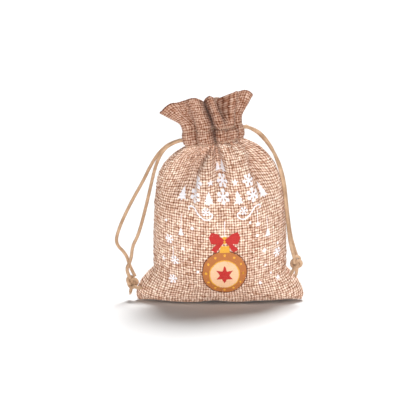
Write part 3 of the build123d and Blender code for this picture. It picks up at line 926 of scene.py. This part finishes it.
class Print(Pile):
    """Flat shapes in cloth millimetres, laid on the cloth when they are done. The places are to
    the right of the front's middle, and up from the bottom seam."""

    def fill(self, outline, centre, kind=0):
        """A shape from its outline, all of which can be seen from its centre."""
        outline, centre = np.asarray(outline, dtype=float), np.asarray(centre, dtype=float)
        closed = np.concatenate([outline, outline[:1]])
        fine = []
        for a, b in zip(closed, closed[1:]):
            count = max(1, math.ceil(np.linalg.norm(b - a) / 0.35))
            fine.extend(a + (b - a) * k / count for k in range(count))
        fine = np.array(fine)
        far = np.linalg.norm(fine - centre, axis=1).max()
        rings = max(2, math.ceil(far / 0.4))
        count = len(fine)
        points = [centre]
        for k in range(1, rings + 1):
            points.extend(centre + (p - centre) * k / rings for p in fine)
        faces = [(0, 1 + j, 1 + (j + 1) % count) for j in range(count)]
        for k in range(rings - 1):
            for j in range(count):
                a, b = 1 + k * count + j, 1 + k * count + (j + 1) % count
                faces.append((a, a + count, b + count, b))
        self.add(points, faces, kind)

    def stroke(self, line, width, kind=0):
        line = np.asarray(line, dtype=float)
        gone = gone_along(line)
        at = np.linspace(0, gone[-1], max(2, math.ceil(gone[-1] / 0.3) + 1))
        line = np.stack([np.interp(at, gone, line[:, k]) for k in range(2)], 1)
        forward = unit(np.gradient(line, axis=0))
        side = np.stack([-forward[:, 1], forward[:, 0]], 1) * width / 2
        points = np.stack([line - side, line, line + side], 1).reshape(-1, 2)
        faces = []
        for k in range(len(line) - 1):
            for j in range(2):
                a = k * 3 + j
                faces.append((a, a + 3, a + 4, a + 1))
        self.add(points, faces, kind)

    def disc(self, x, y, wide, high=None, kind=0):
        angles = np.linspace(0, 2 * np.pi, 25)[:-1]
        high = wide if high is None else high
        self.fill(np.stack([x + wide * np.cos(angles), y + high * np.sin(angles)], 1), (x, y), kind)

    def star(self, x, y, size, points=4, inner=0.36, kind=0):
        outline = []
        for k in range(points * 2):
            angle = math.pi / 2 + k * math.pi / points
            far = size if k % 2 == 0 else size * inner
            outline.append((x + far * math.cos(angle), y + far * math.sin(angle)))
        self.fill(outline, (x, y), kind)

    def flake(self, x, y, size, width=0.55, turn=0.0):
        for k in range(6):
            angle = turn + k * math.pi / 3
            way = np.array([math.cos(angle), math.sin(angle)])
            self.stroke([(x, y), (x, y) + way * size], width)
            for share, long in ((0.55, 0.34), (0.8, 0.22)):
                root = np.array([x, y]) + way * size * share
                for bend in (-0.9, 0.9):
                    twig = np.array([math.cos(angle + bend), math.sin(angle + bend)])
                    self.stroke([root, root + twig * size * long], width * 0.8)

    def pine(self, x, y, size):
        for bottom, top, half in ((0.0, 0.48, 0.42), (0.26, 0.74, 0.33), (0.54, 1.0, 0.22)):
            outline = [(x - half * size, y + bottom * size), (x + half * size, y + bottom * size),
                       (x, y + top * size)]
            self.fill(outline, (x, y + (bottom + (top - bottom) * 0.3) * size))
        self.stroke([(x, y - 0.12 * size), (x, y + 0.05 * size)], 0.12 * size)

    def scroll(self, x, y, way):
        line = [
            (-1.0, -0.9), (-2.2, -0.2), (-1.6, 1.2), (0.2, 1.5), (2.4, 0.6), (4.4, -1.8),
            (7.0, -4.4), (10.0, -5.2), (12.6, -4.2), (13.4, -2.2), (12.2, -1.0), (11.2, -1.8),
        ]
        line, _ = spline([(x + way * a, y + b, 0) for a, b in line])
        self.stroke(line[:, :2], 0.85)

    def laid(self, name, materials, lifts, slot):
        """The piece on the cloth, with each kind of ink at its own height over it."""
        places, lift = np.array(self.points), np.zeros((len(self.points), 1))
        for face, kind in zip(self.faces, self.kinds):
            lift[list(face)] = lifts[kind]
        self.points = on_cloth(places[:, 0] + PANEL_WIDTH / 2, places[:, 1], lift).tolist()
        return self.piece(name, materials, slot=slot)


BAUBLE_X, BAUBLE_Y = 2.6, 33.6
FACE_Y = BAUBLE_Y - 1.0
prints = Print()
# Two pines, and two rows of motifs below them
prints.pine(4.8, 91.8, 6.4)
prints.pine(0.6, 91.6, 4.4)
for k, x in enumerate(np.linspace(-14.0, 20.4, 5)):
    if k % 2:
        prints.star(x, 86.4, 2.3, 5, 0.42)
    else:
        prints.flake(x, 86.4, 3.8, 1.0)
for k, x in enumerate(np.linspace(-25.0, 30.4, 7)):
    if k % 2:
        prints.flake(x, 78.0, 4.2, 1.05, math.pi / 6)
    else:
        prints.pine(x, 74.6, 7.2)
# Scrolls round a snowflake, on both sides
prints.scroll(-17.6, 70.4, 1)
prints.scroll(23.6, 70.4, -1)
prints.flake(-8.4, 70.0, 2.5, 0.6)
prints.flake(14.4, 70.0, 2.5, 0.6)
# Small motifs on the left, some of them on threads
prints.stroke([(-23.4, 66.5), (-23.4, 59.0)], 0.35)
prints.pine(-23.4, 54.4, 4.4)
prints.flake(-31.0, 50.6, 2.8, 0.6)
prints.stroke([(-28.4, 46.8), (-28.4, 39.5)], 0.3)
prints.flake(-27.4, 38.6, 2.6, 0.6, 0.4)
prints.star(-35.5, 37.6, 2.1)
prints.flake(-29.0, 26.6, 2.9, 0.7, 0.25)
# Snow
for x, y, size in ((-33.5, 61.0, 0.95), (-16.6, 59.4, 0.95), (-22.0, 46.6, 1.0), (-13.2, 34.0, 0.8),
                   (22.0, 54.6, 0.9), (27.6, 35.4, 0.8), (24.4, 24.6, 0.9), (31.6, 29.6, 0.7),
                   (17.8, 62.8, 0.8), (36.4, 46.0, 0.8)):
    prints.disc(x, y, size)
# Small motifs on the right
prints.stroke([(22.6, 69.0), (22.6, 62.6)], 0.3)
prints.star(22.6, 61.0, 1.9, 5, 0.42)
prints.stroke([(29.0, 64.0), (29.0, 57.4)], 0.3)
prints.pine(29.0, 52.6, 4.6)
prints.star(26.6, 44.6, 2.0)
prints.flake(36.0, 40.8, 2.8, 0.7)
prints.star(36.6, 24.8, 1.9, 5, 0.42)
# The thread that the ornament hangs by
prints.stroke([(BAUBLE_X, 64.5), (BAUBLE_X, 55.0)], 0.4)
white_prints = prints.laid("white_prints", [white], [0.05], "print_white")

ornament = Print()
AMBER, CREAM, RED, GOLD, UMBER = range(5)
ornament.disc(BAUBLE_X, BAUBLE_Y, 13.6, 14.2, kind=UMBER)
ornament.disc(BAUBLE_X, BAUBLE_Y, 12.9, 13.5, kind=AMBER)
ornament.disc(BAUBLE_X, FACE_Y, 9.0, 9.2, kind=GOLD)
ornament.disc(BAUBLE_X, FACE_Y, 8.4, 8.6, kind=CREAM)
for k in range(13):
    angle = k * math.pi / 6
    dot = (BAUBLE_X + 10.9 * math.cos(angle), BAUBLE_Y - 0.2 + 11.3 * math.sin(angle))
    ornament.disc(*dot, 0.75, kind=GOLD)
ornament.star(BAUBLE_X, FACE_Y, 5.6, 6, 0.5, kind=RED)
ornament.disc(BAUBLE_X, FACE_Y, 1.6, kind=GOLD)
ornament.fill([(-0.4, 46.4), (5.6, 46.4), (5.0, 50.2), (0.2, 50.2)], (BAUBLE_X, 48.4), kind=GOLD)
for way in (-1, 1):
    for centre, outline in (
        ((4.6, 54.4), [(0, 53.6), (4.0, 57.2), (7.8, 58.2), (9.2, 54.8), (7.8, 51.2), (3.8, 51.2)]),
        ((4.0, 50.2), [(0, 53.0), (5.2, 46.2), (7.8, 48.0), (3.0, 53.0)]),
    ):
        centre, *outline = [(BAUBLE_X + way * x, y) for x, y in (centre, *outline)]
        ornament.fill(outline, centre, kind=RED)
ornament.disc(BAUBLE_X, 53.8, 2.1, kind=GOLD)
colour_print = ornament.laid(
    "ornament_print", [amber, cream, red, gold, umber], [0.08, 0.16, 0.20, 0.12, 0.04],
    "print_colour",
)
trims["front"] += [white_prints, colour_print]


# ---------------------------------------------------------------- loose fibres

fuzz = Pile()
for _ in range(170):
    across = rng.uniform(0, 2 * PANEL_WIDTH)
    rise = rng.uniform(6, BODY_LENGTH + CASING_LENGTH + FRILL_LENGTH - 1)
    root = on_cloth(across, rise, -0.1)
    normal = on_cloth(across, rise, 1.0) - on_cloth(across, rise, 0.0)
    way = normal * rng.uniform(0.2, 1.0) + rng.normal(size=3) * 0.7
    way /= np.linalg.norm(way)
    reach = rng.uniform(0.7, 2.0)
    bend = rng.normal(size=3) * 0.25
    line = [root, root + way * reach * 0.5 + bend, root + way * reach + bend * 0.4]
    fuzz.add(*tube(line, 0.05, 4))
fuzz_piece = fuzz.piece("loose_fibres", [fibre_material], slot="burlap")
trims["back"].append(fuzz_piece)


# ---------------------------------------------------------------- floor and light

FAR = 9000  # from the middle of the floor to its edges
floor_shade = Shade("floor", roughness=0.9, specular=0.0)
floor = piece(
    "floor", [(-FAR, -FAR, 0), (FAR, -FAR, 0), (FAR, FAR, 0), (-FAR, FAR, 0)], [(0, 1, 2, 3)],
    [floor_shade.finish((0.76, 0.76, 0.76))], body=None,
)
world = bpy.data.worlds.new("world")
bpy.context.scene.world = world
world.use_nodes = True
# A white backdrop all round, up to about 8 degrees above the horizon, and a dim sky over it
sky = world.node_tree.nodes
direction = sky.new("ShaderNodeTexCoord")
height = sky.new("ShaderNodeSeparateXYZ")
falling = sky.new("ShaderNodeMapRange")
for index, value in ((1, 0.14), (2, 0.22), (3, 1.0), (4, 0.06)):
    falling.inputs[index].default_value = value
for source, target in (
    (direction.outputs["Generated"], height.inputs[0]),
    (height.outputs["Z"], falling.inputs["Value"]),
    (falling.outputs[0], sky["Background"].inputs["Strength"]),
):
    world.node_tree.links.new(source, target)
sky["Background"].inputs["Color"].default_value = (1, 1, 1, 1)


def sunlight(name, towards, strength, angle):
    lamp = bpy.data.lights.new(name, "SUN")
    lamp.energy = strength
    lamp.angle = math.radians(angle)
    thing = bpy.data.objects.new(name, lamp)
    thing.rotation_euler = Vector(towards).to_track_quat("-Z", "Y").to_euler()
    bpy.context.scene.collection.objects.link(thing)


sunlight("above", (-0.10, -0.50, -1.0), 4.7, 26)
sunlight("top", (-0.10, 0.60, -1.0), 0.2, 40)
sunlight("front", (-0.04, 1.0, -0.03), 3.5, 18)
bpy.context.scene.view_settings.view_transform = "Standard"
